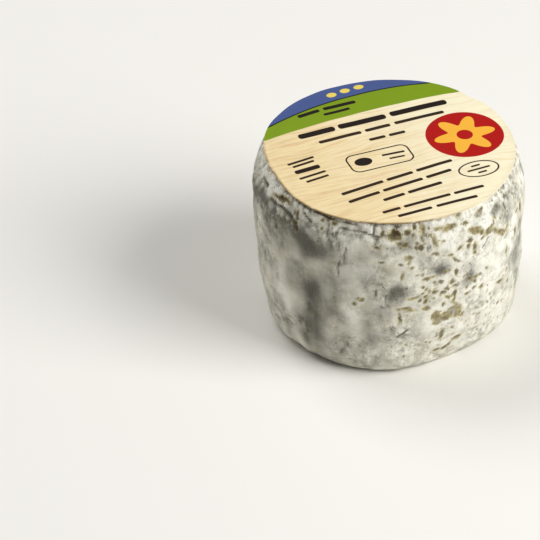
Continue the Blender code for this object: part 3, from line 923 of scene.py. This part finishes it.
# Plain bars in groups: the thickness in millimetres, the tilt in degrees, and the middle and the
# length of each bar
THICK_BARS = (
    (1.55, 0, ((-10.6, 10.3, 7.2), (-1.6, 10.4, 9.4), (9.6, 10.6, 11.2))),
    (0.95, 5, ((-9.6, 16.6, 4.4),)),
    (0.95, 0, ((-3.4, 16.9, 6.4),)),
    (0.75, 2, ((-4.6, 15.2, 5.2),)),
    (1.2, 3, ((-16.6, 0.2, 5.0),)),
)
THIN_BARS = (
    (0.9, 0.5, ((-7.2, 7.3, 8.4), (0.3, 7.5, 5.0), (8.6, 7.7, 9.8))),
    (0.82, 0, ((-1.0, 4.5, 3.2), (2.9, 4.5, 3.2))),
    (0.62, 6, ((-16.7, 3.2, 5.4), (-16.6, 2.1, 4.4), (-16.4, -1.8, 5.4), (-16.0, -3.2, 4.6))),
    (0.84, 6, ((-9.6, -9.1, 8.6), (-1.9, -8.3, 5.4), (5.2, -7.5, 7.4), (-10.4, -11.9, 6.4))),
    (0.84, 6, ((-2.4, -11.0, 8.2), (5.0, -10.2, 5.2), (-5.4, -14.0, 4.4), (1.0, -13.3, 7.0))),
    (0.76, 3, ((-7.4, -17.6, 3.6), (-0.2, -17.2, 9.4), (8.2, -16.8, 6.0))),
    (0.76, 2, ((-3.6, -19.6, 6.8), (4.8, -19.3, 8.2))),
    (0.6, -3, ((-0.2, -1.1, 4.4),)),
    (0.5, -3, ((0.0, -2.5, 3.0),)),
    (0.5, 4, ((12.2, -10.3, 1.8), (12.4, -11.4, 4.6), (12.7, -12.5, 1.8))),
)
BAR_CORNER = 0.8
LINE_WIDTH = 0.32
EDGE_SOFTNESS = 0.05
LEAST_SLOPE = 0.001

# The other shapes in millimetres. The green and the blue field lie outside circles, each a middle and
# a radius. The ovals and the box are a middle and half a size, and the box has a corner's radius too.
# The flower is how many petals it has, and its least and greatest radius.
GREEN_EDGE = ((5.0, -196.7), 210.0)
BLUE_EDGE = ((2.0, -43.1), 62.0)
SPOTS, SPOT_HALF = ((-3.4, 20.6), (-0.6, 21.0), (2.2, 21.2)), (0.95, 0.75)
DOT = ((-6.3, -1.6), (1.7, 1.25))
OVAL = ((12.4, -11.4), (3.8, 2.3))
BOX = ((-3.1, -1.7), (6.0, 2.7), 1.5)
DISC_MIDDLE, DISC_RADIUS, HEART_RADIUS = (14.2, -0.5), 7.2, 1.5
FLOWER = (6.0, 3.1, 5.9)


class Print(Graph):
    """Draws plain shapes on the label. Distances are in millimetres on the paper."""

    def __init__(self, name, middle):
        super().__init__(name)
        self.paper = self.vector("SUBTRACT", self.place(), (middle.x / MM, middle.y / MM, 0.0))

    def local(self, middle, tilt=0.0):
        """Places measured from a shape's middle, along and across its row."""
        east, north, _ = self.split(self.vector("SUBTRACT", self.paper, (*middle, 0.0)))
        if not tilt:
            return self.join(east, north)
        cosine, sine = math.cos(math.radians(tilt)), math.sin(math.radians(tilt))
        along = self.plus(self.times(east, cosine), self.times(north, sine))
        return self.join(along, self.math("SUBTRACT", self.times(north, cosine), self.times(east, sine)))

    def inked(self, distance):
        """1 where the distance to a shape's edge is below nought, and 0 outside."""
        return self.step(distance, -EDGE_SOFTNESS, EDGE_SOFTNESS, 1.0, 0.0)

    def rounded_box(self, middle, half, corner, tilt=0.0):
        reach = self.vector("ABSOLUTE", self.local(middle, tilt))
        reach = self.vector("SUBTRACT", reach, (half[0] - corner, half[1] - corner, 0.0))
        outside = self.vector("LENGTH", self.vector("MAXIMUM", reach, (0.0, 0.0, 0.0)))
        sides = self.split(reach)
        inside = self.math("MINIMUM", self.math("MAXIMUM", sides[0], sides[1]), 0.0)
        return self.math("SUBTRACT", self.plus(outside, inside), corner)

    def bars(self, groups):
        """The distances to bars, in groups that share a thickness and a tilt."""
        return [
            self.rounded_box((x, y), (length / 2, thickness / 2), thickness / 2 * BAR_CORNER, tilt)
            for thickness, tilt, places in groups
            for x, y, length in places
        ]

    def oval(self, middle, half):
        """Close to the true distance near the edge, so that an outline of it is even."""
        reach = self.vector("DIVIDE", self.local(middle), (*half, 1.0))
        slope = self.vector("LENGTH", self.vector("DIVIDE", reach, (*half, 1.0)))
        share = self.vector("LENGTH", reach)
        past = self.times(share, self.math("SUBTRACT", share, 1.0))
        return self.math("DIVIDE", past, self.math("MAXIMUM", slope, LEAST_SLOPE))

    def circle(self, middle, radius):
        return self.math("SUBTRACT", self.vector("LENGTH", self.local(middle)), radius)

    def outline_of(self, distance):
        return self.math("SUBTRACT", self.math("ABSOLUTE", distance), LINE_WIDTH / 2)

    def nearest(self, distances):
        least = distances[0]
        for distance in distances[1:]:
            least = self.math("MINIMUM", least, distance)
        return least

    def flower(self, middle, petals, inner, outer):
        """A plain rounded flower: its edge swings in and out once for each petal."""
        spot = self.split(self.local(middle))
        swing = self.math("COSINE", self.times(self.math("ARCTAN2", spot[1], spot[0]), petals))
        edge = self.times(swing, (outer - inner) / 2, plus=(outer + inner) / 2)
        return self.math("SUBTRACT", self.vector("LENGTH", self.local(middle)), edge)


def label_material(middle):
    """Cream paper with a wood-like grain, fields of colour, bars, plain motifs and a damp edge."""
    graph = Print("label_print", middle)
    bend = graph.noise(graph.vector("MULTIPLY", graph.paper, (0.06, 0.1, 0.0)), 1.0, 1.0)
    streaks = graph.vector("MULTIPLY", graph.paper, (0.05, 1.0, 0.0))
    streaks = graph.vector("ADD", streaks, graph.join(0.0, graph.times(bend, 5.0)))
    grain = graph.noise(streaks, 1.6, 5.0, 0.7)
    # The paper is tanner towards the left and paler towards the right
    tone = graph.times(graph.noise(graph.paper, 0.12), 24.0, plus=graph.split(graph.paper)[0])
    tan_to_left = graph.step(tone, -2.0, 26.0, 1.0, 0.0)
    streaky = graph.times(graph.step(grain, 0.42, 0.68, 0.0, 0.95), graph.step(tan_to_left, 0.0, 1.0, 0.45, 1.0))
    art = graph.mix(streaky, graph.mix(tan_to_left, CREAM, CREAM_TAN), CREAM_GRAIN)

    green = graph.circle(*GREEN_EDGE)
    blue = graph.circle(*BLUE_EDGE)
    spots = graph.nearest([graph.oval(spot, SPOT_HALF) for spot in SPOTS])
    thick = graph.bars(THICK_BARS) + [graph.oval(*DOT)]
    frames = [graph.outline_of(graph.rounded_box(*BOX)), graph.outline_of(graph.oval(*OVAL))]
    layers = (
        (graph.times(green, -1.0), FIELD_GREEN),
        (graph.times(blue, -1.0), FIELD_BLUE),
        (graph.outline_of(blue), INK),
        (graph.circle(DISC_MIDDLE, DISC_RADIUS), DISC_RED),
        (graph.flower(DISC_MIDDLE, *FLOWER), PETAL_YELLOW),
        (graph.circle(DISC_MIDDLE, HEART_RADIUS), DISC_RED),
        (spots, SUN_YELLOW),
        (graph.nearest(thick), INK),
        (graph.nearest(graph.bars(THIN_BARS) + frames), SOFT_INK),
    )
    for distance, tint in layers:
        art = graph.mix(graph.inked(distance), art, tint)

    leftward = graph.vector("DOT_PRODUCT", graph.paper, (-0.8, -0.6, 0.0))
    damp = graph.step(graph.attribute("inset"), 0.0, 0.6, 1.0, 0.0)
    damp = graph.times(damp, graph.step(leftward, 6.0, 17.0))
    damp = graph.times(damp, graph.step(graph.noise(graph.paper, 0.5), 0.3, 0.55, 0.25, 0.85))
    graph.shade("Base Color", graph.mix(damp, art, DAMP_BROWN))

    fibres = graph.noise(graph.place(), 3.0, 4.0, 0.6)
    sags = graph.bump(graph.noise(graph.place(), 0.22), 0.6 * MM, 0.5)
    graph.shade("Normal", graph.bump(fibres, 0.02 * MM, 0.6, sags))
    graph.shade("Roughness", graph.step(fibres, 0.3, 0.7, 0.5, 0.62))
    graph.shade("Specular IOR Level", 0.25)
    return graph.material


def aim(thing, back, distance, target):
    """Sets a camera or a light at a distance from its target, and turns it to face that."""
    thing.location = target + back * distance
    thing.rotation_mode = "QUATERNION"
    thing.rotation_quaternion = (-back).to_track_quat("-Z", "Y")


def build_camera():
    """A long lens at the photograph's angle, aimed so that the label falls where it does there."""
    back = way(AZIMUTH - math.pi / 2, ELEVATION)
    right = way(AZIMUTH)
    middle_in_photo = PHOTO_SIDE / 2
    aside = (LABEL_IN_PHOTO[0] - middle_in_photo) / PHOTO_PIXELS_PER_MM * MM
    above = (middle_in_photo - LABEL_IN_PHOTO[1]) / PHOTO_PIXELS_PER_MM * MM
    distance = PHOTO_SIDE / PHOTO_PIXELS_PER_MM * MM * LENS / SENSOR
    data = bpy.data.cameras.new("camera")
    data.lens = LENS
    data.sensor_width = SENSOR
    data.clip_start = CLIP_NEAR
    data.clip_end = CLIP_FAR
    camera = new_object("camera", data)
    aim(camera, back, distance, middle_of("label") - right * aside - back.cross(right) * above)
    bpy.context.scene.camera = camera


def build_light(name, direction, elevation, power):
    """A square soft light that faces the cheese, by its direction and height seen from there."""
    data = bpy.data.lights.new(name, "AREA")
    data.shape = "SQUARE"
    data.size = LIGHT_WIDTH
    data.energy = power
    data.color = LIGHT_TINT
    back = way(math.radians(direction), math.radians(elevation))
    aim(new_object(name, data), back, LIGHT_DISTANCE, Vector((0.0, 0.0, cad_high.z / 2)))


def build_floor():
    """A plain pale floor under the cheese."""
    under = (0.0, 0.0, FLOOR_HEIGHT)
    bpy.ops.mesh.primitive_circle_add(
        vertices=FLOOR_CORNERS, radius=FLOOR_RADIUS, fill_type="NGON", location=under
    )
    floor = bpy.context.active_object
    floor.name = "floor"
    graph = Graph("floor")
    graph.shade("Base Color", FLOOR_TINT)
    graph.shade("Roughness", 0.9)
    graph.shade("Specular IOR Level", 0.1)
    floor.data.materials.append(graph.material)


def build_world():
    world = bpy.data.worlds.new("studio")
    world.use_nodes = True
    background = world.node_tree.nodes["Background"]
    background.inputs["Color"].default_value = SKY_TINT
    background.inputs["Strength"].default_value = SKY
    bpy.context.scene.world = world


def dress(piece, node, finish):
    piece.data.materials.append(finish)
    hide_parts(node)
    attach(piece, "root")


label_shape = LabelShape()
rind_piece = build_rind(label_shape)
label_piece = build_label(label_shape)
build_camera()
dress(rind_piece, "cheese", rind_material())
dress(label_piece, "label", label_material(label_shape.middle))
build_floor()
build_world()
build_light("key", *KEY_LIGHT)
build_light("back", *BACK_LIGHT)
bpy.context.scene.view_settings.view_transform = "Standard"
